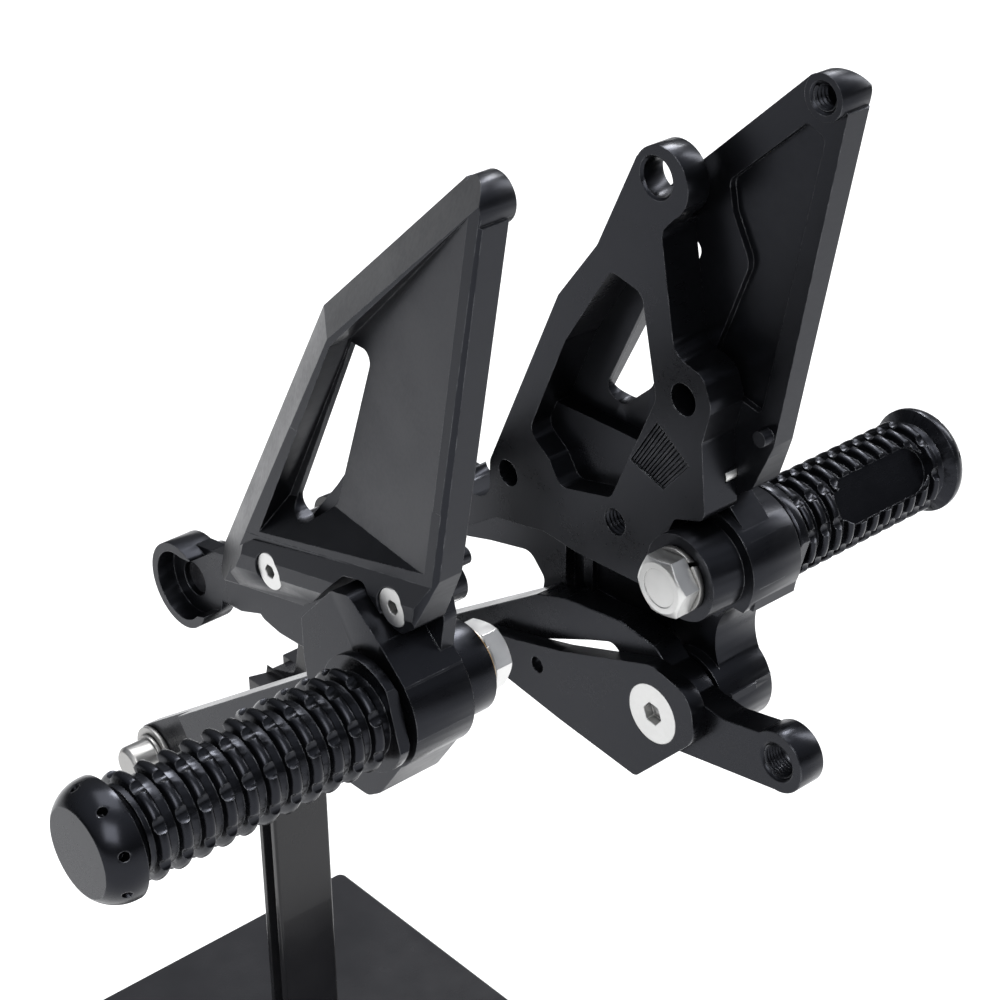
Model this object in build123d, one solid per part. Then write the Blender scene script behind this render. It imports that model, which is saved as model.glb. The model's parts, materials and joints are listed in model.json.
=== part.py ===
from build123d import *
import math
import os

# A pair of machined motorcycle rear-sets on a display stand.
# X points to the front of the motorcycle, Y to its left, Z up, in millimetres.
# Each side is drawn as a left side about its own peg axis, with Y pointing outboard.

# ---- overall layout ----
PEG_AXIS_X = -85.35      # peg axis behind the middle of the whole assembly
PEG_AXIS_Z = 270.0       # peg axis above the table
MID_Y = -7.9             # plane halfway between the two units
STAND_X = 44.15          # centre of the base plate
RIGHT_SHIFT_X = -4.8     # the right unit sits a little further back and lower
RIGHT_SHIFT_Z = -2.2

# ---- peg boss and foot peg, distances along Y from the mid-plane ----
BOSS_IN = 34.6
BLOCK_IN = 46.0
BLOCK_OUT = 64.0
BOSS_R = 16.0
SMALL_BOSS_R = 12.5
PEG_BOLT_R = 5.0
PEG_BOLT_CLEAR = 5.3
HEX_AF = 16.0
HEX_HEAD = 6.0
SPRING_WASHER = 1.8
PEG_WASHER = 1.2
COLLAR_R = 15.4
COLLAR_AF = 26.0
COLLAR_LEN = 3.2
RIDGE_R = 13.6
GROOVE_R = 11.2
RIDGES = 11
LEFT_PITCH = 6.15        # ridge spacing of the left grip, which is the longer one
RIGHT_PITCH = 5.02
RIM_R = 15.3
RIM_AFTER_GRIP = 4.2
CAP_FACE_R = 11.3
LEFT_DOME = 8.0          # height of the end cap beyond its rim
RIGHT_DOME = 4.6
POCKET_LEN = 37.0
POCKET_END = 3.3         # distance from the end of the grip

# ---- bracket plate ----
PLATE_IN = 38.0
PLATE_OUT = 50.0
LUG_OUT = 45.5
PAD_RIBS = 13            # fine ribs of the serrated pad
WEB_IN = 45.2            # inner face of the web across the bottom of the right window
TOP_HOLE_R = 5.25
CUP = (98.0, -15.0)
CUP_R = 12.5
CUP_BORE_R = 10.0
CUP_IN = 45.0
CUP_OUT = 55.0
CUP_DEPTH = 5.5
SPIGOT_R = 5.0

# ---- heel guard ----
GUARD_IN = 50.0
GUARD_RIDGE = 58.0
FLANGE_OUT = 60.0
GUARD_LUG = (-29.0, 139.0)
GUARD_LUG_R = 6.0
GUARD_LUG_IN = 47.8
GUARD_THREAD_R = 3.4
GUARD_SCREWS = ((48.0, 14.5), (-2.0, 27.5))
GUARD_SCREW_R = 2.5
GUARD_HEAD_R = 5.1

# ---- left shift lever ----
LEVER_SLEEVE_R = 7.5
LEVER_CLEAR = 0.05
LEVER_IN = 36.0
LEVER_OUT = 45.7
LEVER_TOE = (140.0, -100.0)
LEVER_END_R = 9.0
TOE_BOLT_R = 3.0
TOE_PEG_LEN = 9.6
TOE_STEP = 41.0          # thinned toe end of the lever and of the pedal
TOE_WASHER = 1.6
TOE_BOLT_END = 49.6

# ---- right brake pedal ----
PIVOT = (5.6, -44.9)
PIVOT_LUG_R = 13.5
PIVOT_BOLT_R = 5.0
PIVOT_BUSH_R = 7.0
SIDE_PLATE_IN = 31.0
PEDAL_IN = 36.0
PEDAL_OUT = 44.6
PEDAL_TOE = (138.0, -97.0)
PUSHROD_LUG = (-36.0, -41.0)
PUSHROD_LUG_R = 9.0
PUSHROD_R = 5.0

# ---- display stand ----
BASE_X = 182.0
BASE_Y = 168.0
BASE_T = 8.0
FOOT_H = 2.0
COLUMN_X = 9.0
COLUMN_Y = 21.0
COLUMN_TOP = PEG_AXIS_Z - 81.5
CROSSBAR_R = 5.0
CROSSBAR_LEFT = 48.0     # ends inside the left cup
CROSSBAR_RIGHT = 41.0    # ends inside the right arm
NECK_T = 6.0


def side_plane(y_outer):
    return Plane(origin=(0, y_outer, 0), x_dir=(1, 0, 0), z_dir=(0, -1, 0))


def outline(points):
    """Closed profile in X and Z; a third number rounds that corner."""
    edges = []
    joints = []
    count = len(points)
    for i, p in enumerate(points):
        before = Vector(points[i - 1][0], points[i - 1][1])
        here = Vector(p[0], p[1])
        after = Vector(points[(i + 1) % count][0], points[(i + 1) % count][1])
        radius = p[2] if len(p) > 2 else 0
        back = (before - here).normalized()
        ahead = (after - here).normalized()
        half = math.acos(max(-1.0, min(1.0, back.dot(ahead)))) / 2
        reach = 0.0
        if radius > 0:
            limit = 0.45 * min((before - here).length, (after - here).length)
            reach = min(radius / math.tan(half), limit)
        if reach < 0.05:
            joints.append((here, here))
            continue
        radius = reach * math.tan(half)
        middle = here + (back + ahead).normalized() * (radius / math.sin(half) - radius)
        start = here + back * reach
        end = here + ahead * reach
        edges.append(Edge.make_three_point_arc(start, middle, end))
        joints.append((start, end))
    for i in range(count):
        edges.append(Edge.make_line(joints[i - 1][1], joints[i][0]))
    return Face(Wire(edges))


def slab(points, y0, y1):
    return extrude(side_plane(y1) * outline(points), y1 - y0, dir=(0, -1, 0))


def disc(x, z, r, y0, y1):
    return Pos(x, (y0 + y1) / 2, z) * Rot(90, 0, 0) * Cylinder(r, y1 - y0)


def cone(x, z, r0, r1, y0, y1):
    """Radius r0 at y0 and r1 at y1, about an axis along Y."""
    body = Pos(x, (y0 + y1) / 2, z) * Rot(-90, 0, 0) * Cone(r0, r1, y1 - y0)
    return body


def hexagon(x, z, af, y0, y1, turn=0.0):
    sketch = RegularPolygon(af / math.sqrt(3), 6, rotation=turn)
    plane = Plane(origin=(x, y1, z), x_dir=(1, 0, 0), z_dir=(0, -1, 0))
    return extrude(plane * sketch, y1 - y0)


def halfspace(p0, p1, p2, keep, size=400.0):
    """Big block on the side of the plane p0 p1 p2 away from the point keep."""
    plane_normal = (Vector(*p1) - Vector(*p0)).cross(Vector(*p2) - Vector(*p0)).normalized()
    if plane_normal.dot(Vector(*keep) - Vector(*p0)) > 0:
        plane_normal = plane_normal * -1
    plane = Plane(origin=p0, z_dir=plane_normal)
    return plane * Pos(0, 0, size / 2) * Box(size, size, size)


def arm(p, q, rp, rq, y0, y1):
    """Straight bar with round ends of radius rp at p and rq at q."""
    dx = q[0] - p[0]
    dz = q[1] - p[1]
    length = math.hypot(dx, dz)
    ux, uz = dx / length, dz / length
    nx, nz = -uz, ux
    body = slab(
        [
            (p[0] + nx * rp, p[1] + nz * rp),
            (q[0] + nx * rq, q[1] + nz * rq),
            (q[0] - nx * rq, q[1] - nz * rq),
            (p[0] - nx * rp, p[1] - nz * rp),
        ],
        y0,
        y1,
    )
    return body + disc(p[0], p[1], rp, y0, y1) + disc(q[0], q[1], rq, y0, y1)


def slot(centre, half_travel, angle, r, y0, y1):
    c, s = math.cos(math.radians(angle)), math.sin(math.radians(angle))
    a = (centre[0] - half_travel * c, centre[1] - half_travel * s)
    b = (centre[0] + half_travel * c, centre[1] + half_travel * s)
    return arm(a, b, r, r, y0, y1)


# ------------------------------------------------------------------ foot peg
def ring_of(profile):
    """Turned solid from a closed (radius, y) profile; entries of three points are arcs."""
    edges = []
    for step in profile:
        if len(step) == 2:
            edges.append(Edge.make_line(step[0], step[1]))
        else:
            edges.append(Edge.make_three_point_arc(step[0], step[1], step[2]))
    return revolve(Face(Wire(edges)), Axis.Y)


def grip_end(pitch):
    return BLOCK_OUT + PEG_WASHER + COLLAR_LEN + 1.2 + RIDGES * pitch


def foot_peg(pitch):
    """Two-flat collar, turned ridges with lengthwise flutes, tapped at both ends."""
    y0 = BLOCK_OUT + PEG_WASHER
    y1 = y0 + COLLAR_LEN
    y2 = grip_end(pitch)
    collar = disc(0, 0, COLLAR_R, y0, y1)
    collar = collar & (cone(0, 0, 14.8, COLLAR_R, y0, y0 + 0.6) + disc(0, 0, COLLAR_R, y0 + 0.6, y1))
    for side in (-1, 1):
        flat = Pos(side * (COLLAR_AF / 2 + 5), (y0 + y1) / 2, 0) * Box(10, COLLAR_LEN + 2, 40)
        collar -= Rot(0, 16, 0) * flat
    here = (GROOVE_R, y1 - 0.2)
    profile = [((0, y1 - 0.2), here)]
    for i in range(RIDGES):
        y = y1 + 1.2 + (i + 0.2) * pitch
        width = 0.58 * pitch
        foot = (GROOVE_R, y)
        shoulder = (RIDGE_R - 1.1, y + 0.25)
        crest = (RIDGE_R, y + width / 2)
        far_shoulder = (RIDGE_R - 1.1, y + width - 0.25)
        far_foot = (GROOVE_R, y + width)
        profile.append((here, foot))
        profile.append((foot, shoulder))
        profile.append((shoulder, crest, far_shoulder))
        profile.append((far_shoulder, far_foot))
        here = far_foot
    profile.append((here, (GROOVE_R, y2)))
    profile.append(((GROOVE_R, y2), (0, y2)))
    profile.append(((0, y2), (0, y1 - 0.2)))
    peg = collar + ring_of(profile)
    for i in range(8):
        angle = math.radians(15 + 45 * i)
        x, z = 14.5 * math.cos(angle), 14.5 * math.sin(angle)
        peg -= disc(x, z, 2.2, y1 + 0.6, y2 + 1)
    # pocket milled into the front of the grip
    c, s = math.cos(math.radians(31)), math.sin(math.radians(31))
    y_b = y2 - POCKET_END
    y_a = y_b - POCKET_LEN
    frame = Plane(origin=(0, 0, 0), x_dir=(0, 1, 0), z_dir=(c, 0, s))
    shape = frame * Pos((y_a + y_b) / 2, 0, 9.0) * SlotOverall(y_b - y_a, 13.6)
    peg -= extrude(shape, 10, dir=(c, 0, s))
    peg -= disc(0, 0, PEG_BOLT_R, y0 - 1, 92.0)
    peg -= cone(0, 0, 5.9, PEG_BOLT_R, y0, y0 + 0.9)
    peg -= disc(0, 0, 4.0, y2 - 13.5, y2 + 1)
    return peg


def end_cap(pitch, dome):
    """Flared and domed cap screwed into the end of the grip."""
    y2 = grip_end(pitch)
    rim = y2 + RIM_AFTER_GRIP
    face = rim + dome
    neck = (GROOVE_R - 0.4, y2)
    profile = [
        ((0, y2), neck),
        (neck, (GROOVE_R + 0.6, y2 + 1.6)),
        ((GROOVE_R + 0.6, y2 + 1.6), (RIM_R, rim - 0.9)),
        ((RIM_R, rim - 0.9), (RIM_R, rim + 0.3)),
        ((RIM_R, rim + 0.3), (14.3, rim + 0.55 * dome), (CAP_FACE_R + 0.5, face - 0.3)),
        ((CAP_FACE_R + 0.5, face - 0.3), (CAP_FACE_R, face)),
        ((CAP_FACE_R, face), (0, face)),
        ((0, face), (0, y2)),
    ]
    cap = ring_of(profile)
    cap += disc(0, 0, 4.0, y2 - 12.5, y2 + 0.5)
    for i in range(8):
        cap -= Rot(0, -(25 + 45 * i), 0) * Pos(14, rim + 0.5 * dome, 0) * Rot(0, 90, 0) * Cylinder(1.2, 5.0)
    return cap


def peg_thrust_washer():
    return disc(0, 0, 10.5, BLOCK_OUT, BLOCK_OUT + PEG_WASHER) - disc(
        0, 0, PEG_BOLT_CLEAR, BLOCK_OUT - 1, BLOCK_OUT + PEG_WASHER + 1
    )


def spring_washer():
    y0 = BOSS_IN - SPRING_WASHER
    ring = disc(0, 0, 9.2, y0, BOSS_IN) - disc(0, 0, PEG_BOLT_CLEAR, y0 - 1, BOSS_IN + 1)
    split = Rot(0, -128, 0) * Pos(7.4, BOSS_IN - 0.9, 0) * Rot(18, 0, 0) * Box(6, 6, 1.2)
    return ring - split


def peg_bolt():
    y1 = BOSS_IN - SPRING_WASHER
    y0 = y1 - HEX_HEAD
    head = hexagon(0, 0, HEX_AF, y0, y1, 52)
    head = head & (cone(0, 0, 7.3, 9.4, y0, y0 + 1.2) + disc(0, 0, 9.4, y0 + 1.2, y1))
    head -= disc(0, 0, 5.6, y0 - 1, y0 + 0.2)
    shank = disc(0, 0, PEG_BOLT_R, y1, 89.0)
    tip = cone(0, 0, PEG_BOLT_R, 4.0, 89.0, 90.0)
    return head + shank + tip


# ---------------------------------------------------------------- heel guard
GUARD_OUTLINE = [
    (-23.0, 142.6),
    (30.0, 93.2, 2),
    (79.0, 6.0, 2),
    (77.0, -1.0, 2),
    (64.0, 2.6, 2),
    (36.0, 9.4, 2),
    (30.6, 13.4, 1),
    (17.2, 27.4, 2),
    (9.2, 29.6, 4),
    (1.0, 23.4, 1),
    (-3.4, 19.9, 3),
    (-10.2, 25.4, 3),
    (-17.0, 40.6, 1),
    (-35.0, 136.0),
]
FLANGE_OUTLINE = [
    (68.6, 10.4, 1),
    (64.0, 2.6, 2),
    (36.0, 9.4, 2),
    (30.6, 13.4, 1),
    (17.2, 27.4, 2),
    (9.2, 29.6, 4),
    (1.0, 23.4, 1),
    (-3.4, 19.9, 3),
    (-10.2, 25.4, 3),
    (-15.4, 37.0, 1),
    (-14.0, 39.0),
    (56.0, 20.0),
]
SLOT_OUTLINE = [
    (19.4, 87.6, 1),
    (45.8, 33.0, 5),
    (38.6, 30.4, 4),
    (27.6, 40.4, 5),
    (9.6, 88.8, 3),
]


def heel_guard():
    """Faceted guard plate with a tray-shaped outer face and a pocketed back."""
    body = slab(GUARD_OUTLINE, GUARD_IN, GUARD_RIDGE)
    body += slab(FLANGE_OUTLINE, GUARD_IN, FLANGE_OUT)
    lug_x, lug_z = GUARD_LUG
    body += disc(lug_x, lug_z, GUARD_LUG_R, GUARD_LUG_IN, GUARD_RIDGE)
    # wide chamfers along the front and the top edge
    inside = (0.0, 52.0, 60.0)
    front = halfspace((30.0, 51.4, 93.2), (79.0, 51.4, 6.0), (20.5, 58.0, 90.0), inside)
    top = halfspace((-23.0, 51.4, 142.6), (30.0, 51.4, 93.2), (20.5, 58.0, 90.0), inside)
    body -= front
    body -= top
    # tray: the rear facet and the lower facet fall away towards the slot
    rear_facet = halfspace(
        (-31.5, GUARD_RIDGE, 138.0), (-13.4, GUARD_RIDGE, 41.0), (30.0, 51.6, 39.0), (0, 40, 60)
    )
    lower_facet = halfspace(
        (55.0, GUARD_RIDGE, 22.5), (-13.4, GUARD_RIDGE, 41.0), (30.0, 51.6, 39.0), (0, 40, 60)
    )
    window = slab(
        [(19.6, 88.6), (53.6, 23.2), (-13.2, 41.4), (-31.0, 137.6)],
        GUARD_IN + 1.6,
        GUARD_RIDGE + 3,
    )
    body -= window & rear_facet & lower_facet
    body -= slab(SLOT_OUTLINE, GUARD_IN - 2, GUARD_RIDGE + 3)
    # slanting upper and lower faces of the screw flange
    body -= halfspace(
        (67.0, FLANGE_OUT, 13.0), (-12.0, FLANGE_OUT, 32.0), (55.0, GUARD_RIDGE, 21.5), (0, 40, 20)
    ) & slab([(90, -10), (90, 60), (-30, 60), (-30, -10)], 57.9, 62)
    body -= halfspace(
        (67.0, FLANGE_OUT, 8.6), (-12.0, FLANGE_OUT, 28.0), (63.0, 57.6, 1.6), (0, 40, 30)
    ) & slab([(90, -20), (90, 60), (-30, 60), (-30, -20)], 54.0, 62)
    # narrow bevel down the rear edge
    body -= halfspace(
        (-35.6, 56.6, 134.0), (-17.4, 56.6, 41.0), (-15.6, GUARD_RIDGE, 41.4), (0, 52, 60)
    )
    # pocket in the back, bounded by a curved rib
    pocket = [
        (-22.5, 130.5, 2),
        (2.0, 108.0, 3),
        (0.5, 100.0, 3),
        (-6.0, 88.0, 6),
        (8.0, 52.0, 2),
        (-12.0, 48.0, 2),
        (-28.5, 128.0, 2),
    ]
    body -= slab(pocket, GUARD_IN - 1, GUARD_IN + 2.0)
    body -= disc(lug_x, lug_z, GUARD_THREAD_R, GUARD_LUG_IN - 1, 52.6)
    body -= cone(lug_x, lug_z, GUARD_THREAD_R + 0.9, GUARD_THREAD_R, GUARD_LUG_IN, GUARD_LUG_IN + 0.9)
    # small stop peg at the rear foot of the guard
    body += disc(-14.6, 43.0, 2.2, 46.8, GUARD_IN + 1)
    for x, z in GUARD_SCREWS:
        body -= disc(x, z, GUARD_SCREW_R + 0.3, GUARD_IN - 1, FLANGE_OUT + 1)
        body -= cone(x, z, GUARD_SCREW_R + 0.3, GUARD_HEAD_R + 0.1, 56.0, 58.4)
        body -= disc(x, z, GUARD_HEAD_R + 0.1, 58.4, FLANGE_OUT + 2)
    return body


def guard_screws(thread_end):
    screws = []
    for x, z in GUARD_SCREWS:
        screw = cone(x, z, GUARD_SCREW_R, GUARD_HEAD_R, 55.9, 58.4)
        screw += disc(x, z, GUARD_HEAD_R, 58.4, 59.3)
        screw += disc(x, z, GUARD_SCREW_R, thread_end, 55.9)
        screw -= hexagon(x, z, 3.4, 56.6, 60.0, 0)
        screws.append(screw)
    return Compound(screws)


# -------------------------------------------------------------------- brackets
def common_block(points, small_boss):
    body = slab(points, PLATE_IN + 8.0, BLOCK_OUT)
    body += disc(0, 0, BOSS_R, BLOCK_IN, BLOCK_OUT)
    if small_boss:
        body += disc(0, 0, SMALL_BOSS_R, BOSS_IN, BLOCK_IN)
    return body


def drill(body, x, z, r, y0, y1):
    body -= disc(x, z, r, y0, y1)
    return body


def tapped_guard_holes(body, bottom):
    for x, z in GUARD_SCREWS:
        body -= disc(x, z, GUARD_SCREW_R, bottom, PLATE_OUT + 1)
    return body


def forward_cup(body, x, z):
    body += disc(x, z, CUP_R, CUP_IN, CUP_OUT)
    body -= disc(x, z, CUP_BORE_R, CUP_OUT - CUP_DEPTH, CUP_OUT + 1)
    body -= disc(x, z, SPIGOT_R, CUP_IN - 1, CUP_OUT)
    # the cup is open towards the arm
    mouth = [(x, z - 9.4), (x - 16, z - 3.0), (x - 16, z + 12.0), (x, z + 9.6)]
    body -= slab(mouth, CUP_OUT - CUP_DEPTH, CUP_OUT + 1)
    return body


def left_bracket():
    """Shift-side bracket: strut to the top lug, forward arm, peg block."""
    plate = slab(
        [
            (9.0, 104.0, 9),
            (14.0, 66.0, 8),
            (30.0, 44.0, 8),
            (58.0, 10.0, 6),
            (68.0, 4.0, 4),
            (68.0, -12.0, 4),
            (40.0, -16.0, 8),
            (28.0, -20.0, 4),
            (12.0, -16.6, 2),
            (-8.0, 12.0, 2),
            (-10.0, 24.0, 4),
            (-5.0, 42.0, 12),
            (-7.0, 78.0, 12),
            (-14.0, 96.0, 8),
        ],
        BLOCK_IN,
        PLATE_OUT,
    )
    body = plate + disc(-2.0, 98.0, 11.5, 43.0, 50.0)
    body += slab([(66, 4), (66, -11), (92, -21), (96, -2.8), (88, -1.4)], 45.0, PLATE_OUT)
    # wide chamfer along the lower edge of the forward arm
    body -= halfspace(
        (92.0, PLATE_OUT, -16.0), (42.0, PLATE_OUT, -12.0), (92.0, 45.5, -21.4), (80.0, 47.0, 0.0)
    ) & slab([(90, -40), (90, 0), (42, 0), (42, -40)], 44.0, PLATE_OUT + 1)
    for x, z in GUARD_SCREWS:
        body += disc(x, z, 5.2, 40.0, PLATE_OUT)
    block = [
        (28.9, 12.0, 2),
        (16.0, 25.8, 3),
        (9.0, 27.6, 4),
        (-2.4, 19.4, 2),
        (-11.6, 11.4),
        (-15.9, -2.0),
        (-9.0, -13.4, 8),
        (-0.6, -25.6, 8),
        (4.6, -29.2, 5),
        (14.0, -29.4, 6),
        (25.8, -19.4, 8),
        (28.6, 0.6, 4),
    ]
    body += common_block(block, False)
    body = forward_cup(body, *CUP)
    body = drill(body, -2.0, 98.0, TOP_HOLE_R, 30, 60)
    body = drill(body, 0, 0, PEG_BOLT_CLEAR, 30, 70)
    body = tapped_guard_holes(body, PLATE_OUT - 10.0)
    return body


def right_bracket():
    """Brake-side bracket: windowed plate, top lug, forward arm, pedal pivot lug."""
    plate = slab(
        [
            (22.6, 111.6),
            (36.7, 82.5, 4),
            (51.6, 63.0, 6),
            (80.4, 0.8, 5),
            (80.8, -13.6, 7),
            (96.0, -13.6, 3),
            (96.6, -5.6, 3),
            (109.8, -5.6, 6),
            (109.8, -24.0, 6),
            (92.4, -27.0, 4),
            (78.5, -17.4, 6),
            (57.4, -12.8, 2),
            (44.0, -13.5, 2),
            (18.0, -12.0, 3),
            (6.0, 14.0, 2),
            (-5.0, 18.0, 3),
            (-3.1, 40.2, 3),
            (-6.1, 51.5, 6),
            (-2.8, 59.3, 5),
            (7.7, 61.8, 6),
            (13.4, 94.0, 4),
            (6.3, 101.7, 3),
            (5.2, 103.0),
        ],
        PLATE_IN,
        PLATE_OUT,
    )
    body = plate + disc(14.0, 107.0, 9.6, PLATE_IN, PLATE_OUT)
    # the upper strut is thinner than the rest
    body -= slab([(60, 86), (60, 130), (-20, 130), (-20, 96), (8, 96)], LUG_OUT, 60)
    window = [
        (31.4, 77.0, 3),
        (19.8, 74.6, 4),
        (13.9, 46.4, 5),
        (30.4, 9.9, 4),
        (50.7, 4.5, 4),
        (55.3, 11.5, 3),
        (63.5, 17.2, 4),
        (48.8, 50.4, 5),
    ]
    body -= slab(window, 30, 60)
    # thin web closing the bottom of the window, where the guard's front screw bites
    body += slab([(28.0, 26.0), (26.0, 4.0), (58.0, 0.0), (68.0, 12.0), (60.0, 25.0)], WEB_IN, PLATE_OUT)
    block = [
        (40.0, 4.0, 3),
        (24.0, 10.0, 2),
        (16.0, 25.0, 2),
        (9.0, 27.4, 3),
        (-2.4, 19.2, 2),
        (-12.0, 10.6),
        (-15.9, -2.0),
        (-13.4, -10.0),
        (-6.0, -24.0, 8),
        (-7.8, -44.0),
        (2.0, -57.6),
        (14.0, -55.0),
        (19.0, -44.0, 4),
        (44.0, -38.0, 3),
        (64.0, -40.6, 3),
        (63.4, -12.0, 3),
    ]
    body += slab(block, 48.5, 58.0)
    body += disc(0, 0, BOSS_R, 46.0, BLOCK_OUT) + disc(0, 0, SMALL_BOSS_R, BOSS_IN, 50.0)
    body += slab([(-12, 10.5), (-15.9, 0), (-7.9, -40), (19, -40), (15.5, 4)], 48.5, BLOCK_OUT)
    body -= disc(-19.0, -25.6, 18.6, 46.0, 66.0) & slab([(5, -10), (-40, -10), (-40, -42), (5, -42)], 46, 66)
    body += disc(PIVOT[0], PIVOT[1], PIVOT_LUG_R, 45.4, BLOCK_OUT)
    # raised L-shaped rib on the recessed web
    body += slab([(50, -12), (46.5, -12), (46.5, -32), (50, -30)], 46.6, 49)
    body += slab([(48, -34.8), (46, -31), (20, -31), (20, -35)], 46.6, 49)
    # recessed lower face of the forward arm
    lower_arm = [
        (56.0, -10.0),
        (108.0, -18.0, 4),
        (104.0, -37.4, 5),
        (89.1, -32.7, 6),
        (71.3, -28.2, 5),
        (65.0, -34.7, 3),
        (66.0, -40.8, 2),
        (56.0, -40.0),
    ]
    body += slab(lower_arm, 45.0, 51.0)
    # boss that takes the end of the stand's crossbar
    cup_x = CUP[0] - RIGHT_SHIFT_X
    cup_z = CUP[1] - RIGHT_SHIFT_Z
    body += disc(cup_x, cup_z, 7.0, 35.0, PLATE_IN)
    body -= slab([(96.2, 0), (96.2, -13.0), (115, -13.0), (115, 0)], CROSSBAR_RIGHT + 1.0, 60)
    body -= disc(cup_x, cup_z, SPIGOT_R, 30.0, CROSSBAR_RIGHT)
    # serrated pad
    pad = slab([(13.3, 40.1), (23.1, 24.7), (10.5, 21.0), (1.2, 31.8)], PLATE_IN - 1, PLATE_IN + 1.4)
    ribs = []
    for i in range(PAD_RIBS):
        t = (i + 0.5) / PAD_RIBS
        a = (13.3 + (1.2 - 13.3) * t, 40.1 + (31.8 - 40.1) * t)
        b = (23.1 + (10.5 - 23.1) * t, 24.7 + (21.0 - 24.7) * t)
        ribs.append(arm(a, b, 0.3, 0.3, PLATE_IN + 0.5, PLATE_IN + 1.6))
    body -= pad
    for rib in ribs:
        body += rib
    body = drill(body, 15.6, 107.7, TOP_HOLE_R, 30, 60)
    body -= cone(15.6, 107.7, TOP_HOLE_R + 0.7, TOP_HOLE_R, PLATE_IN, PLATE_IN + 0.7)
    body = drill(body, 72.6, -0.3, 4.0, 30, 52.0)
    body = drill(body, 4.0, 50.3, 4.5, 30, 50.1)
    body = drill(body, 28.6, 3.1, 4.0, 30, 52.0)
    body = drill(body, 0, 0, PEG_BOLT_CLEAR, 30, 70)
    body = drill(body, PIVOT[0], PIVOT[1], PIVOT_BUSH_R, 40, 70)
    body = tapped_guard_holes(body, WEB_IN + 0.6)
    return body


# ------------------------------------------------------------------ shift lever
def lever_angle():
    return math.degrees(math.atan2(LEVER_TOE[1], LEVER_TOE[0]))


def shift_lever():
    """Lever turning on a sleeve about the peg bolt, with a slotted toe end."""
    body = arm((0, 0), LEVER_TOE, 10.0, LEVER_END_R, LEVER_IN, LEVER_OUT)
    body += disc(0, 0, SMALL_BOSS_R, LEVER_IN - 0.2, LEVER_OUT)
    body -= disc(0, 0, LEVER_SLEEVE_R + LEVER_CLEAR, 30, 50)
    a = lever_angle()
    half = Rot(0, -a, 0)
    step = half * Pos(172.0, 45.0, 0) * Box(64.0, 40, 60)
    body -= step & slab([(60, 0), (220, 0), (220, -180), (60, -180)], TOE_STEP, 50.0)
    body -= slot(LEVER_TOE, 5.0, a, TOE_BOLT_R + 0.2, 30, 50)
    return body


def lever_sleeve():
    sleeve = disc(0, 0, LEVER_SLEEVE_R, 35.6, BLOCK_IN)
    sleeve += disc(0, 0, 11.0, BOSS_IN, 35.6)
    return sleeve - disc(0, 0, PEG_BOLT_CLEAR, 30, 50)


def toe_peg(centre, y0):
    """Short plain steel peg with a flange, tapped from the lever side."""
    x, z = centre
    body = disc(x, z, 6.6, y0, y0 + 1.4)
    body += disc(x, z, 5.6, y0, y0 + TOE_PEG_LEN - 1.2)
    body += cone(x, z, 5.6, 4.6, y0 + TOE_PEG_LEN - 1.2, y0 + TOE_PEG_LEN)
    body -= disc(x, z, TOE_BOLT_R, y0 - 1, y0 + TOE_PEG_LEN - 2.0)
    return body


def toe_washer(centre, y0):
    return disc(centre[0], centre[1], 8.6, y0, y0 + TOE_WASHER) - disc(
        centre[0], centre[1], TOE_BOLT_R + 0.2, y0 - 1, y0 + 3
    )


def toe_bolt(centre, y0, y1):
    """Cap screw: head below y0, shank up to y1."""
    x, z = centre
    body = disc(x, z, 5.0, y0 - 5.0, y0) + disc(x, z, TOE_BOLT_R, y0, y1)
    return body - hexagon(x, z, 5.0, y0 - 6.0, y0 - 2.4)


# ------------------------------------------------------------------ brake pedal
def brake_pedal():
    """Cranked pedal: hub, forward arm with slotted toe end, rear lug for the pushrod."""
    y0 = PEDAL_IN
    y1 = PEDAL_OUT
    px, pz = PIVOT
    body = disc(px, pz, 13.0, y0, y1)
    body += slab(
        [
            (px - 3, pz + 11, 2),
            (10.0, -27.6, 4),
            (24.0, -25.8, 6),
            (46.0, -29.0, 6),
            (58.0, -33.0, 6),
            (PEDAL_TOE[0] + 4.6, PEDAL_TOE[1] + 7.6),
            (PEDAL_TOE[0] - 4.6, PEDAL_TOE[1] - 7.6),
            (54.0, -46.4, 8),
            (36.0, -38.0, 6),
            (26.0, -33.8, 4),
            (20.0, -42.0, 4),
            (14.0, -54.0),
            (px, pz - 8),
        ],
        y0,
        y1,
    )
    body += disc(PEDAL_TOE[0], PEDAL_TOE[1], LEVER_END_R, y0, y1)
    lug_x, lug_z = PUSHROD_LUG
    body += slab(
        [
            (px - 8, pz + 8.6),
            (px - 22, pz + 7.2, 6),
            (lug_x + 5, lug_z + 6.6),
            (lug_x - 2, lug_z - 8.6),
            (px - 4, pz - 12.2),
        ],
        y0,
        y1,
    )
    body += disc(lug_x, lug_z, PUSHROD_LUG_R, y0, y1)
    body -= disc(lug_x, lug_z, PUSHROD_R, 30, 50)
    body -= cone(lug_x, lug_z, PUSHROD_R + 0.8, PUSHROD_R, y0, y0 + 0.8)
    body -= disc(px, pz, PIVOT_BOLT_R, 30, 50)
    for x, z in DOWELS:
        body -= disc(x, z, 1.5, 30, 42.0)
    angle = math.degrees(math.atan2(PEDAL_TOE[1] + 33, PEDAL_TOE[0] - 46))
    body -= slab([(112, -60), (170, -60), (170, -130), (112, -130)], TOE_STEP, 50.0)
    body -= slot(PEDAL_TOE, 5.0, angle, TOE_BOLT_R + 0.2, 30, 50)
    return body


DOWELS = ((-3.4, -40.0), (13.6, -50.6))


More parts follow.
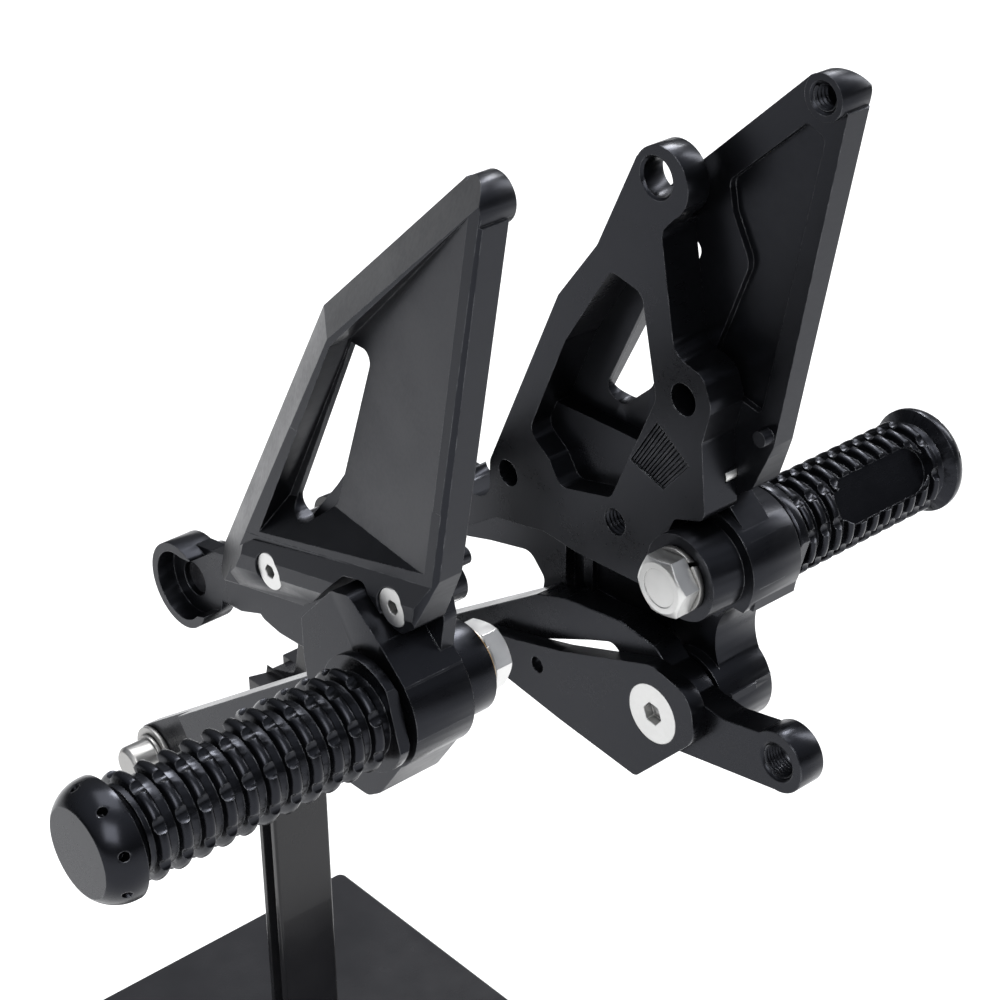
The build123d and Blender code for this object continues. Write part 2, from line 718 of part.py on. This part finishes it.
def pedal_side_plate():
    plate = slab(
        [
            (6.8, -29.4, 10),
            (-8.4, -32.4, 8),
            (-10.8, -45.6, 8),
            (11.7, -69.2, 3),
            (42.9, -66.4, 6),
            (62.4, -64.0, 7),
            (78.0, -62.0, 5),
            (80.0, -53.0, 5),
            (62.2, -48.5, 8),
            (42.9, -42.8, 8),
        ],
        SIDE_PLATE_IN,
        PEDAL_IN,
    )
    px, pz = PIVOT
    plate -= disc(px, pz, PIVOT_BOLT_R, 30, 40)
    plate -= cone(px, pz, 9.1, PIVOT_BOLT_R, SIDE_PLATE_IN, SIDE_PLATE_IN + 4.1)
    plate -= disc(52.7, -52.4, 2.5, 30, 40)
    for x, z in DOWELS:
        plate -= disc(x, z, 1.5, SIDE_PLATE_IN + 2.0, 40)
    return plate


def pedal_dowels():
    return Compound([disc(x, z, 1.5, SIDE_PLATE_IN + 2.4, 41.6) for x, z in DOWELS])


def pivot_bolt():
    """Countersunk bolt that turns with the pedal."""
    px, pz = PIVOT
    body = cone(px, pz, 9.1, PIVOT_BOLT_R, SIDE_PLATE_IN, SIDE_PLATE_IN + 4.1)
    body += disc(px, pz, PIVOT_BOLT_R, SIDE_PLATE_IN + 4.1, 67.0)
    return body - hexagon(px, pz, 6.0, SIDE_PLATE_IN - 1, SIDE_PLATE_IN + 3.0, 8)


def pivot_bush():
    px, pz = PIVOT
    body = disc(px, pz, PIVOT_BUSH_R, 45.4, BLOCK_OUT)
    return body - disc(px, pz, PIVOT_BOLT_R + 0.05, 40, 70)


def pivot_thrust_washer():
    px, pz = PIVOT
    return disc(px, pz, 11.0, PEDAL_OUT, PEDAL_OUT + 0.5) - disc(px, pz, PIVOT_BOLT_R, 40, 50)


def pivot_nut():
    px, pz = PIVOT
    nut = hexagon(px, pz, 14.0, BLOCK_OUT + 0.3, BLOCK_OUT + 4.3, 15)
    return nut - disc(px, pz, PIVOT_BOLT_R, 60, 70)


# ---------------------------------------------------------------- display stand
def base_plate():
    plate = Pos(0, 0, FOOT_H + BASE_T / 2) * Box(BASE_X, BASE_Y, BASE_T)
    plate = fillet(plate.edges().filter_by(Axis.Z), 3)
    plate = chamfer(plate.faces().sort_by(Axis.Z)[-1].edges(), 0.8)
    for y in (-6, 6):
        plate -= Pos(0, y, FOOT_H + BASE_T / 2) * Cylinder(2.2, BASE_T + 2)
        plate -= Pos(0, y, FOOT_H + 1.2) * Cylinder(4.2, 2.4)
    return plate


def stand_column():
    bottom = FOOT_H + BASE_T
    height = COLUMN_TOP - bottom
    column = Pos(0, 0, bottom + height / 2) * Box(COLUMN_X, COLUMN_Y, height)
    column = fillet(column.edges().filter_by(Axis.Z), 0.8)
    groove_h = height - 44
    groove = Pos(0, COLUMN_Y / 2, bottom + 30 + groove_h / 2) * Box(4.6, 7.0, groove_h)
    column -= groove
    column -= Pos(0, COLUMN_Y / 2 - 1.75, bottom + 30) * Rot(90, 0, 0) * Cylinder(2.3, 3.5)
    for y in (-6, 6):
        column -= Pos(0, y, bottom + 7) * Cylinder(2.0, 15)
    # fork that holds the neck plate; the left prong is lower and sloped
    column -= Pos(0, 0, COLUMN_TOP - 10) * Box(COLUMN_X + 2, NECK_T, 20.02)
    column -= Pos(0, COLUMN_Y / 2, COLUMN_TOP) * Rot(12, 0, 0) * Box(COLUMN_X + 2, COLUMN_Y - NECK_T, 4.0)
    for z in (COLUMN_TOP - 7, COLUMN_TOP - 15):
        column -= Pos(0, 0, z) * Rot(90, 0, 0) * Cylinder(2.0, 30)
        column -= Pos(0, -COLUMN_Y / 2, z) * Rot(90, 0, 0) * Cylinder(3.6, 5.0)
    return column


def base_screws():
    bottom = FOOT_H
    screws = []
    for y in (-6, 6):
        head = Pos(0, y, bottom + 1.2) * Cylinder(3.9, 2.4)
        shank = Pos(0, y, bottom + 2.4 + 8.6) * Cylinder(2.0, 17.2)
        socket = Pos(0, y, bottom + 0.6) * extrude(RegularPolygon(1.7, 6), 1.0, both=True)
        screws.append(head + shank - socket)
    return Compound(screws)


def rubber_feet():
    feet = []
    for x in (-1, 1):
        for y in (-1, 1):
            feet.append(Pos(x * 70, y * 70, FOOT_H / 2) * Cylinder(8, FOOT_H))
    return Compound(feet)


def neck_plate():
    """Plate from the column fork up to the crossbar clamp."""
    bar_x = CUP[0] + PEG_AXIS_X - STAND_X
    bar_z = CUP[1] + PEG_AXIS_Z
    z_top = COLUMN_TOP
    profile = [
        (3.6, z_top - 19.6, 2),
        (3.6, z_top - 1.6, 3),
        (-10.0, z_top + 3.0, 6),
        (bar_x + 11.0, bar_z - 10.0, 6),
        (bar_x + 7.0, bar_z + 1.0),
        (bar_x - 7.0, bar_z + 1.0),
        (bar_x - 9.6, bar_z - 20.0, 8),
        (-18.0, z_top - 1.0, 8),
        (-4.2, z_top - 19.6, 2),
    ]
    plate = slab(profile, -NECK_T / 2, NECK_T / 2)
    plate += disc(bar_x, bar_z, 7.2, -NECK_T / 2, NECK_T / 2)
    plate -= disc(bar_x, bar_z, CROSSBAR_R, -10, 10)
    for z in (z_top - 7, z_top - 15):
        plate -= Pos(0, 0, z) * Rot(90, 0, 0) * Cylinder(2.0, 30)
    plate -= Pos(bar_x + 8, 0, bar_z) * Rot(0, 90, 0) * Cylinder(1.5, 8)
    return plate


def neck_screws():
    top = COLUMN_TOP
    screws = []
    for z in (top - 7, top - 15):
        head = Pos(0, -9.2, z) * Rot(90, 0, 0) * Cylinder(3.4, 2.4)
        shank = Pos(0, 0.2, z) * Rot(90, 0, 0) * Cylinder(2.0, 16.4)
        socket = hexagon(0, z, 2.5, -11.4, -9.2)
        screws.append(head + shank - socket)
    return Compound(screws)


def crossbar():
    bar_x = CUP[0] + PEG_AXIS_X - STAND_X
    bar_z = CUP[1] + PEG_AXIS_Z
    bar = disc(bar_x, bar_z, CROSSBAR_R, -CROSSBAR_RIGHT, CROSSBAR_LEFT)
    bar += disc(bar_x, bar_z, 7.0, -35.0, -28.0)
    bar += disc(bar_x, bar_z, 7.0, CUP_IN - 7.0, CUP_IN)
    return bar


def clamp_screw():
    bar_x = CUP[0] + PEG_AXIS_X - STAND_X
    bar_z = CUP[1] + PEG_AXIS_Z
    screw = Cylinder(1.5, 3.6) - Pos(0, 0, 1.0) * extrude(RegularPolygon(0.85, 6), 1.2)
    return Pos(bar_x + CROSSBAR_R + 1.8, 0, bar_z) * Rot(0, 90, 0) * screw


# -------------------------------------------------------------------- write out
def left(shape):
    return Pos(PEG_AXIS_X, MID_Y, PEG_AXIS_Z) * shape


def right(shape):
    place = Pos(PEG_AXIS_X + RIGHT_SHIFT_X, MID_Y, PEG_AXIS_Z + RIGHT_SHIFT_Z)
    flipped = [place * mirror(solid, about=Plane.XZ) for solid in shape.solids()]
    return flipped[0] if len(flipped) == 1 else Compound(flipped)


def right_turned(shape):
    """The same part on the other side, turned end for end instead of mirrored."""
    place = Pos(PEG_AXIS_X + RIGHT_SHIFT_X, MID_Y, PEG_AXIS_Z + RIGHT_SHIFT_Z)
    return place * Rot(0, 0, 180) * shape


def in_place(shape):
    """Stand pieces are drawn about the centre of the base plate."""
    return Pos(STAND_X, MID_Y, 0) * shape


os.makedirs("parts", exist_ok=True)

nodes = {
    "left_bracket": left(left_bracket()),
    "left_heel_guard": left(heel_guard()),
    "left_guard_screws": left(guard_screws(40.6)),
    "left_foot_peg": left(foot_peg(LEFT_PITCH)),
    "left_foot_peg_end_cap": left(end_cap(LEFT_PITCH, LEFT_DOME)),
    "left_peg_thrust_washer": left(peg_thrust_washer()),
    "left_peg_bolt": left(peg_bolt()),
    "left_peg_spring_washer": left(spring_washer()),
    "left_shift_lever": left(shift_lever()),
    "left_shift_lever_sleeve": left(lever_sleeve()),
    "left_toe_peg_washer": left(toe_washer(LEVER_TOE, TOE_STEP)),
    "left_toe_peg": left(toe_peg(LEVER_TOE, TOE_STEP + TOE_WASHER)),
    "left_toe_peg_bolt": left(toe_bolt(LEVER_TOE, LEVER_IN, TOE_BOLT_END)),
    "right_bracket": right(right_bracket()),
    "right_heel_guard": right(heel_guard()),
    "right_guard_screws": right(guard_screws(WEB_IN + 1.0)),
    "right_foot_peg": right_turned(foot_peg(RIGHT_PITCH)),
    "right_foot_peg_end_cap": right_turned(end_cap(RIGHT_PITCH, RIGHT_DOME)),
    "right_peg_thrust_washer": right(peg_thrust_washer()),
    "right_peg_bolt": right(peg_bolt()),
    "right_peg_spring_washer": right(spring_washer()),
    "right_brake_pedal": right(brake_pedal()),
    "right_pedal_side_plate": right(pedal_side_plate()),
    "right_pedal_dowels": right(pedal_dowels()),
    "right_pedal_pivot_bolt": right(pivot_bolt()),
    "right_pedal_pivot_bush": right(pivot_bush()),
    "right_pedal_thrust_washer": right(pivot_thrust_washer()),
    "right_pedal_pivot_nut": right(pivot_nut()),
    "right_toe_peg_washer": right(toe_washer(PEDAL_TOE, TOE_STEP)),
    "right_toe_peg": right(toe_peg(PEDAL_TOE, TOE_STEP + TOE_WASHER)),
    "right_toe_peg_bolt": right(toe_bolt(PEDAL_TOE, PEDAL_IN, TOE_BOLT_END)),
    "stand_base_plate": in_place(base_plate()),
    "stand_column": in_place(stand_column()),
    "stand_base_screws": in_place(base_screws()),
    "stand_rubber_feet": in_place(rubber_feet()),
    "stand_neck_plate": in_place(neck_plate()),
    "stand_neck_screws": in_place(neck_screws()),
    "stand_crossbar": in_place(crossbar()),
    "stand_clamp_screw": in_place(clamp_screw()),
}

for name, shape in nodes.items():
    export_step(shape, "parts/" + name + ".step")
    print(name, len(shape.solids()), round(shape.volume))
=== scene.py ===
import bpy
import bmesh
import json
import math
from mathutils import Matrix, Vector


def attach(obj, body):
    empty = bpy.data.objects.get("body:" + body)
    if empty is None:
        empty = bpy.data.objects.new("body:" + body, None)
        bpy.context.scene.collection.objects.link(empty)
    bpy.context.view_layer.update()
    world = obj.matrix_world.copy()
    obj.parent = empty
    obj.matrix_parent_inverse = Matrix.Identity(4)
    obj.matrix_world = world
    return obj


# A pair of motorcycle rear-sets on a display stand, in metres.
# +X points to the front of the motorcycle, +Y to its left side, +Z up.

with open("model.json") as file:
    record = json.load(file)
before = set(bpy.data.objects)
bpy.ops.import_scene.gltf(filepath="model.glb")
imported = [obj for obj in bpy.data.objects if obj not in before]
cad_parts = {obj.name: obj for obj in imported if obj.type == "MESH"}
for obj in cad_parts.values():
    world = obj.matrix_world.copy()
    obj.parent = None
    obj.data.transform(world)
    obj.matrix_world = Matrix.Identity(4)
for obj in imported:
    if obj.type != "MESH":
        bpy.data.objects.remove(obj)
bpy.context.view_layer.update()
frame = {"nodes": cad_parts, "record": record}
nodes = frame["nodes"]
slots = {part["node"]: part["material_slot"] for part in frame["record"]["subparts"]}
mounts = {mount["name"]: mount for mount in frame["record"]["mounts"]}
ROOT = "mounted_units"
MM = 0.001
EDGE_ROUND_RADIUS = 0.35 * MM      # how far the rounded edge normal and the painted edge highlight reach on to a face
PAINT_EDGE_RADIUS = 0.6 * MM
SHADE_REACH = 2.4 * MM           # painted shade darkens gaps narrower than this


# ------------------------------------------------------------------ materials
class Recipe:
    """A node material under construction, with its pattern coordinates."""

    def __init__(self, name):
        self.material = bpy.data.materials.new(name)
        self.material.use_nodes = True
        self.tree = self.material.node_tree
        self.tree.nodes.clear()
        output = self.add("ShaderNodeOutputMaterial")
        self.shader = self.add("ShaderNodeBsdfPrincipled")
        self.link(self.shader.outputs["BSDF"], output.inputs["Surface"])
        self.place = self.add("ShaderNodeTexCoord").outputs["Object"]

    def add(self, kind, **settings):
        node = self.tree.nodes.new(kind)
        for key, value in settings.items():
            setattr(node, key, value)
        return node

    def link(self, start, end):
        self.tree.links.new(start, end)

    def set(self, **values):
        for key, value in values.items():
            self.shader.inputs[key.replace("_", " ")].default_value = value

    def put(self, socket, value):
        if isinstance(value, (int, float)):
            socket.default_value = value
        else:
            self.link(value, socket)

    def math(self, operation, first, second=0.0, third=0.0):
        node = self.add("ShaderNodeMath", operation=operation)
        for socket, value in zip(node.inputs, (first, second, third)):
            self.put(socket, value)
        return node.outputs[0]

    def spread(self, value, low, high, out_low, out_high):
        node = self.add("ShaderNodeMapRange")
        for socket, item in zip(node.inputs, (value, low, high, out_low, out_high)):
            self.put(socket, item)
        return node.outputs[0]

    def noise(self, scale, detail=3.0, stretch=(1, 1, 1)):
        mapping = self.add("ShaderNodeMapping")
        mapping.inputs["Scale"].default_value = stretch
        self.link(self.place, mapping.inputs["Vector"])
        texture = self.add("ShaderNodeTexNoise")
        texture.inputs["Scale"].default_value = scale
        texture.inputs["Detail"].default_value = detail
        self.link(mapping.outputs["Vector"], texture.inputs["Vector"])
        return texture.outputs["Fac"]

    def axes(self):
        split = self.add("ShaderNodeSeparateXYZ")
        self.link(self.place, split.inputs["Vector"])
        return split.outputs

    def plane_distance(self, origin, direction):
        """Signed distance of the shaded point from a plane, in metres."""
        x, y, z = self.axes()
        direction = Vector(direction).normalized()
        total = self.math("MULTIPLY", x, direction.x)
        total = self.math("MULTIPLY_ADD", y, direction.y, total)
        total = self.math("MULTIPLY_ADD", z, direction.z, total)
        return self.math("SUBTRACT", total, Vector(origin).dot(direction))

    def waves(self, distance, pitch):
        return self.math("SINE", self.math("MULTIPLY", distance, 2 * math.pi / pitch))

    def edge_mask(self, radius):
        """A mask that is one along edges and zero on open faces, and the rounded normal."""
        rounded = self.add("ShaderNodeBevel", samples=2)
        rounded.inputs["Radius"].default_value = radius
        geometry = self.add("ShaderNodeNewGeometry")
        dot = self.add("ShaderNodeVectorMath", operation="DOT_PRODUCT")
        self.link(rounded.outputs["Normal"], dot.inputs[0])
        self.link(geometry.outputs["Normal"], dot.inputs[1])
        return self.spread(dot.outputs["Value"], 0.995, 0.9, 0.0, 1.0), rounded.outputs["Normal"]

    def shade_mask(self, distance):
        """One on open faces, falling to zero deep inside sockets and gaps; the mask for painted shade."""
        shade = self.add("ShaderNodeAmbientOcclusion", samples=4)
        shade.inputs["Distance"].default_value = distance
        return self.spread(shade.outputs["AO"], 0.3, 0.8, 0.0, 1.0)

    def faces_towards(self, direction, tolerance):
        """One on flat faces whose normal is within the tolerance of a direction."""
        geometry = self.add("ShaderNodeNewGeometry")
        dot = self.add("ShaderNodeVectorMath", operation="DOT_PRODUCT")
        self.link(geometry.outputs["True Normal"], dot.inputs[0])
        dot.inputs[1].default_value = Vector(direction).normalized()
        return self.math("GREATER_THAN", dot.outputs["Value"], math.cos(math.radians(tolerance)))

    def mix(self, factor, first, second):
        node = self.add("ShaderNodeMix", data_type="RGBA")
        self.put(node.inputs["Factor"], factor)
        for socket, value in ((node.inputs[6], first), (node.inputs[7], second)):
            if isinstance(value, tuple):
                socket.default_value = (*value, 1)
            else:
                self.link(value, socket)
        return node.outputs[2]

    def bump(self, height, depth, normal=None):
        node = self.add("ShaderNodeBump")
        node.inputs["Strength"].default_value = 1.0
        node.inputs["Distance"].default_value = depth
        self.link(height, node.inputs["Height"])
        if normal is not None:
            self.link(normal, node.inputs["Normal"])
        self.link(node.outputs["Normal"], self.shader.inputs["Normal"])
        return node.outputs["Normal"]


def scaled(colour, factor):
    return tuple(min(1.0, channel * factor) for channel in colour)


def metal(
    name, colour, roughness, metallic=1.0, lines=None, edge_highlight=None, grain=0.000003, cloud=70, socket_shade=None
):
    """Machined or plated metal.

    lines holds (direction, pitch, depth) of the tool marks in millimetres, worn is the colour of the
    painted edge highlight and grime the colour of the painted shade in sockets and gaps. cloud is the
    scale of the slow variation.
    """
    recipe = Recipe(name)
    recipe.set(Metallic=metallic)
    cloudy = recipe.noise(cloud, 4.0)
    colour_out = recipe.mix(cloudy, scaled(colour, 0.84), scaled(colour, 1.18))
    smear = recipe.noise(900, 2.0, (1.0, 0.25, 1.0))
    slow = recipe.math("MULTIPLY", cloudy, 0.6)
    rough = recipe.math("ADD", slow, recipe.math("MULTIPLY", smear, 0.4))
    rough_out = recipe.spread(rough, 0.3, 0.7, roughness * 0.82, roughness * 1.2)
    edge, rounded = recipe.edge_mask(EDGE_ROUND_RADIUS)
    # painted edge highlight: patchy lighter colour along edges
    if edge_highlight is not None:
        patchy = recipe.spread(recipe.noise(260, 3.0), 0.4, 0.62, 0.12, 1.0)
        edge_glint = recipe.math("MULTIPLY", edge, patchy)
        colour_out = recipe.mix(edge_glint, colour_out, edge_highlight)
        rough_out = recipe.math("SUBTRACT", rough_out, recipe.math("MULTIPLY", edge_glint, roughness * 0.25))
    # painted shade: sockets and gaps take the darker colour
    if socket_shade is not None:
        colour_out = recipe.mix(recipe.shade_mask(SHADE_REACH), socket_shade, colour_out)
    recipe.link(colour_out, recipe.shader.inputs["Base Color"])
    recipe.link(rough_out, recipe.shader.inputs["Roughness"])
    height = recipe.math("MULTIPLY", recipe.noise(5200, 2.0), grain)
    for direction, pitch, depth in lines or ():
        marks = recipe.waves(recipe.plane_distance((0, 0, 0), direction), pitch * MM)
        fade = recipe.spread(recipe.noise(45, 2.0), 0.35, 0.65, 0.3, 1.0)
        marks = recipe.math("MULTIPLY", recipe.math("MULTIPLY", marks, fade), depth * MM)
        height = recipe.math("ADD", height, marks)
    recipe.bump(height, 1.0, rounded)
    return recipe


BLACK = (0.020, 0.021, 0.025)
# colour of the painted edge highlight
EDGE_HIGHLIGHT = (0.16, 0.165, 0.175)
# colour of the painted shade in sockets and gaps
SOCKET_SHADE = (0.03, 0.03, 0.03)
SCALLOP_PITCH = 0.95 * MM
SCALLOP_DEPTH = 0.05 * MM


def guard_material():
    """Anodised guard with scalloped finishing passes on the undercut face of its screw flange."""
    # the guard carries the painted edge highlight
    recipe = metal("anodised_guard", BLACK, 0.34, 0.94, [((1, 0, 0.55), 0.9, 0.0007)], EDGE_HIGHLIGHT)
    bump = recipe.shader.inputs["Normal"].links[0].from_node
    scallop = recipe.waves(recipe.plane_distance((0, 0, 0), (0.24, 0, 0.97)), SCALLOP_PITCH)
    # the undercut face looks down and outwards, to either side of the motorcycle
    left_face = recipe.faces_towards((-0.21, 0.62, -0.75), 16)
    right_face = recipe.faces_towards((-0.21, -0.62, -0.75), 16)
    undercut = recipe.math("MAXIMUM", left_face, right_face)
    cut = recipe.math("MULTIPLY", recipe.math("MULTIPLY", scallop, undercut), SCALLOP_DEPTH)
    fine = bump.inputs["Height"].links[0].from_socket
    recipe.link(recipe.math("ADD", fine, cut), bump.inputs["Height"])
    return recipe.material


def paint_material():
    recipe = Recipe("stand_gloss_paint")
    recipe.set(Metallic=0.0, Specular_IOR_Level=0.22, Coat_Weight=0.12, Coat_Roughness=0.04)
    cloud = recipe.noise(40, 3.0)
    colour = recipe.mix(cloud, (0.008, 0.008, 0.009), (0.016, 0.016, 0.018))
    recipe.link(colour, recipe.shader.inputs["Base Color"])
    recipe.link(recipe.spread(cloud, 0.3, 0.7, 0.16, 0.3), recipe.shader.inputs["Roughness"])
    rounded = recipe.edge_mask(PAINT_EDGE_RADIUS)[1]
    recipe.bump(recipe.math("MULTIPLY", recipe.noise(700, 2.0), 0.000012), 1.0, rounded)
    return recipe.material


def rubber_material():
    recipe = Recipe("rubber")
    cloud = recipe.noise(220, 4.0)
    colour = recipe.mix(cloud, (0.018, 0.018, 0.018), (0.04, 0.04, 0.038))
    recipe.link(colour, recipe.shader.inputs["Base Color"])
    recipe.link(recipe.spread(cloud, 0.3, 0.7, 0.7, 0.9), recipe.shader.inputs["Roughness"])
    recipe.bump(recipe.math("MULTIPLY", recipe.noise(3000, 2.0), 0.00003), 1.0)
    return recipe.material


ACROSS_PLATE = ((1, 0, 0.2), 1.1, 0.0009)
ALONG_PLATE = ((0.3, 0, 1), 0.46, 0.0004)
# the black anodised metals carry a painted edge highlight; zinc and steel carry painted shade in sockets
# and gaps
MATERIALS = {
    "black_machined": metal(
        "anodised_milled", BLACK, 0.3, 0.94, lines=[ACROSS_PLATE, ALONG_PLATE], edge_highlight=EDGE_HIGHLIGHT
    ).material,
    "black_guard": guard_material(),
    "black_grip": metal(
        "anodised_turned", BLACK, 0.25, 0.94, lines=[((0, 1, 0), 0.32, 0.0009)], edge_highlight=EDGE_HIGHLIGHT
    ).material,
    "black_cap": metal(
        "anodised_cap", BLACK, 0.26, 0.94, lines=[((0, 1, 0), 0.4, 0.0008)], edge_highlight=EDGE_HIGHLIGHT
    ).material,
    "black_lever": metal(
        "anodised_lever", BLACK, 0.28, 0.94, lines=[((0.8, 0, -0.6), 0.7, 0.0008)], edge_highlight=EDGE_HIGHLIGHT
    ).material,
    "zinc": metal(
        "bright_zinc", (0.64, 0.64, 0.63), 0.38,
        lines=[((1, 0, 0.4), 0.35, 0.0008)], grain=0.00001, cloud=120, socket_shade=SOCKET_SHADE,
    ).material,
    "steel": metal(
        "stainless", (0.36, 0.355, 0.345), 0.4,
        lines=[((0, 1, 0), 0.3, 0.0008)], grain=0.00001, cloud=120, socket_shade=SOCKET_SHADE,
    ).material,
    "bronze": metal("sintered_bronze", (0.5, 0.33, 0.16), 0.42, grain=0.00002).material,
    "stand_black": paint_material(),
    "rubber": rubber_material(),
}


def dress(obj, slot):
    obj.data.materials.clear()
    obj.data.materials.append(MATERIALS[slot])


# ---------------------------------------------------------- edges of CAD nodes
WELD_GAP = 0.004 * MM
SMALL_BREAK = 0.22               # edge breaks in millimetres
BREAKS = {
    "left_foot_peg": 0.18,
    "right_foot_peg": 0.18,
    "stand_base_plate": 0.5,
    "left_heel_guard": 0.35,
    "right_heel_guard": 0.35,
    "left_bracket": 0.4,
    "right_bracket": 0.4,
    "left_shift_lever": 0.5,
    "right_brake_pedal": 0.5,
    "right_pedal_side_plate": 0.5,
}


def break_edges(obj, width):
    """Merges the flat facets and puts a small bevel along every sharp edge."""
    weld = obj.modifiers.new("weld", "WELD")
    weld.merge_threshold = WELD_GAP
    flat = obj.modifiers.new("flat", "DECIMATE")
    flat.decimate_type = "DISSOLVE"
    flat.angle_limit = math.radians(0.4)
    bevel = obj.modifiers.new("bevel", "BEVEL")
    bevel.width = width * MM
    bevel.segments = 2
    bevel.limit_method = "ANGLE"
    bevel.angle_limit = math.radians(32)
    bevel.miter_outer = "MITER_ARC"
    bevel.harden_normals = True
    bevel.use_clamp_overlap = True


for name, node in nodes.items():
    dress(node, slots[name])
    break_edges(node, BREAKS.get(name, SMALL_BREAK))


# ------------------------------------------------------------- modelled detail
def new_piece(name, mesh, slot, body=ROOT):
    obj = bpy.data.objects.new(name, mesh)
    bpy.context.scene.collection.objects.link(obj)
    mesh.materials.append(MATERIALS[slot])
    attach(obj, body)
    return obj


def inner_thread(name, mount, pitch, length, start, slot, body=ROOT):
    """Helical thread inside a stated hole, as a triangular ridge standing in from the wall.

    pitch, length and start, the distance from the hole's mouth, are in millimetres.
    """
    hole = mounts[mount]
    radius = hole["dims"]["r_mm"] * MM
    out = Vector(hole["axis"])
    mouth = Vector(hole["pos_m"]) + out * (hole["dims"]["length_mm"] / 2 * MM)
    side = out.orthogonal().normalized()
    up = out.cross(side)
    depth = 0.5 * pitch * MM
    half = 0.46 * pitch * MM
    sunk = radius + 0.03 * MM        # the ridge's foot stands a little inside the wall
    steps = 40
    turns = length / pitch
    bm = bmesh.new()
    rows = []
    for i in range(int(turns * steps) + 1):
        angle = 2 * math.pi * i / steps
        radial = side * math.cos(angle) + up * math.sin(angle)
        along = (start + pitch * i / steps) * MM
        centre = mouth - out * along
        row = [
            centre + out * half + radial * sunk,
            centre + radial * (radius - depth),
            centre - out * half + radial * sunk,
        ]
        rows.append([bm.verts.new(point) for point in row])
    for first, second in zip(rows, rows[1:]):
        for k in range(3):
            bm.faces.new((first[k], first[(k + 1) % 3], second[(k + 1) % 3], second[k]))
    bm.faces.new(rows[0])
    bm.faces.new(rows[-1])
    bmesh.ops.recalc_face_normals(bm, faces=bm.faces)
    mesh = bpy.data.meshes.new(name)
    bm.to_mesh(mesh)
    bm.free()
    return new_piece(name, mesh, slot, body)


M8_PITCH = 1.25
PUSHROD_PITCH = 1.0
inner_thread("right_guard_thread", "right_guard_top_thread", M8_PITCH, 4.0, 0.7, "black_guard")
inner_thread("left_guard_thread", "left_guard_top_thread", M8_PITCH, 4.0, 0.7, "black_guard")
inner_thread("right_cylinder_screw_thread", "right_cylinder_thread", M8_PITCH, 9.0, 0.9, "black_machined")
inner_thread(
    "pushrod_lug_thread", "pushrod_lug_bore", PUSHROD_PITCH, 6.6, 1.0, "black_lever", "brake_pedal"
)


# ---------------------------------------------------------------------- camera
# where the viewer stands, with the directions of the picture's right and top edges
EYE = Vector((-0.495137, 0.367802, 0.628708))
RIGHT = Vector((-0.65666, -0.75411, -0.01080))
UP = Vector((0.37500, -0.33890, 0.86286))
camera_data = bpy.data.cameras.new("camera")
camera_data.lens = 92.73
camera_data.sensor_width = 36.0
camera_data.clip_start = 0.05
camera_data.clip_end = 60
camera = bpy.data.objects.new("camera", camera_data)
bpy.context.scene.collection.objects.link(camera)
back = RIGHT.cross(UP).normalized()
camera.matrix_world = Matrix((
    (RIGHT.x, UP.x, back.x, EYE.x),
    (RIGHT.y, UP.y, back.y, EYE.y),
    (RIGHT.z, UP.z, back.z, EYE.z),
    (0, 0, 0, 1),
))
bpy.context.scene.camera = camera
bpy.context.scene.view_settings.view_transform = "Standard"


# ----------------------------------------------------------------------- stage
def floor_plane():
    mesh = bpy.data.meshes.new("floor")
    side = 14.0
    corners = [(-side, -side, 0), (side, -side, 0), (side, side, 0), (-side, side, 0)]
    mesh.from_pydata(corners, [], [(0, 1, 2, 3)])
    floor = bpy.data.objects.new("floor", mesh)
    bpy.context.scene.collection.objects.link(floor)
    recipe = Recipe("floor")
    recipe.set(Base_Color=(0.42, 0.42, 0.42, 1), Roughness=0.9)
    recipe.set(Emission_Color=(1, 1, 1, 1), Emission_Strength=0.68)
    mesh.materials.append(recipe.material)


def studio_world():
    """Bright ceiling that fades to a darker room towards the horizon."""
    world = bpy.data.worlds.new("studio")
    bpy.context.scene.world = world
    world.use_nodes = True
    tree = world.node_tree
    background = tree.nodes["Background"]
    place = tree.nodes.new("ShaderNodeTexCoord")
    split = tree.nodes.new("ShaderNodeSeparateXYZ")
    ramp = tree.nodes.new("ShaderNodeValToRGB")
    tree.links.new(place.outputs["Generated"], split.inputs["Vector"])
    tree.links.new(split.outputs["Z"], ramp.inputs["Fac"])
    tree.links.new(ramp.outputs["Color"], background.inputs["Color"])
    ramp.color_ramp.elements[0].position = 0.15
    ramp.color_ramp.elements[0].color = (0.10, 0.105, 0.12, 1)
    ramp.color_ramp.elements[1].position = 0.75
    ramp.color_ramp.elements[1].color = (0.9, 0.93, 1.0, 1)
    background.inputs["Strength"].default_value = 0.7


def softbox(name, place, target, size, power):
    data = bpy.data.lights.new(name, "AREA")
    data.shape = "RECTANGLE"
    data.size, data.size_y = size
    data.energy = power
    light = bpy.data.objects.new(name, data)
    bpy.context.scene.collection.objects.link(light)
    light.location = place
    light.rotation_euler = (Vector(target) - Vector(place)).to_track_quat("-Z", "Y").to_euler()


AIM = (0, 0, 0.28)
floor_plane()
studio_world()
softbox("key", (-0.9, 0.9, 1.2), AIM, (0.8, 0.8), 12)
softbox("ridge", (0.52, -0.78, 1.45), AIM, (0.2, 0.7), 16)
softbox("top", (0.2, -0.1, 1.6), AIM, (1.0, 1.0), 13)
softbox("rim", (-0.2, -1.1, 1.0), AIM, (0.3, 1.0), 10)
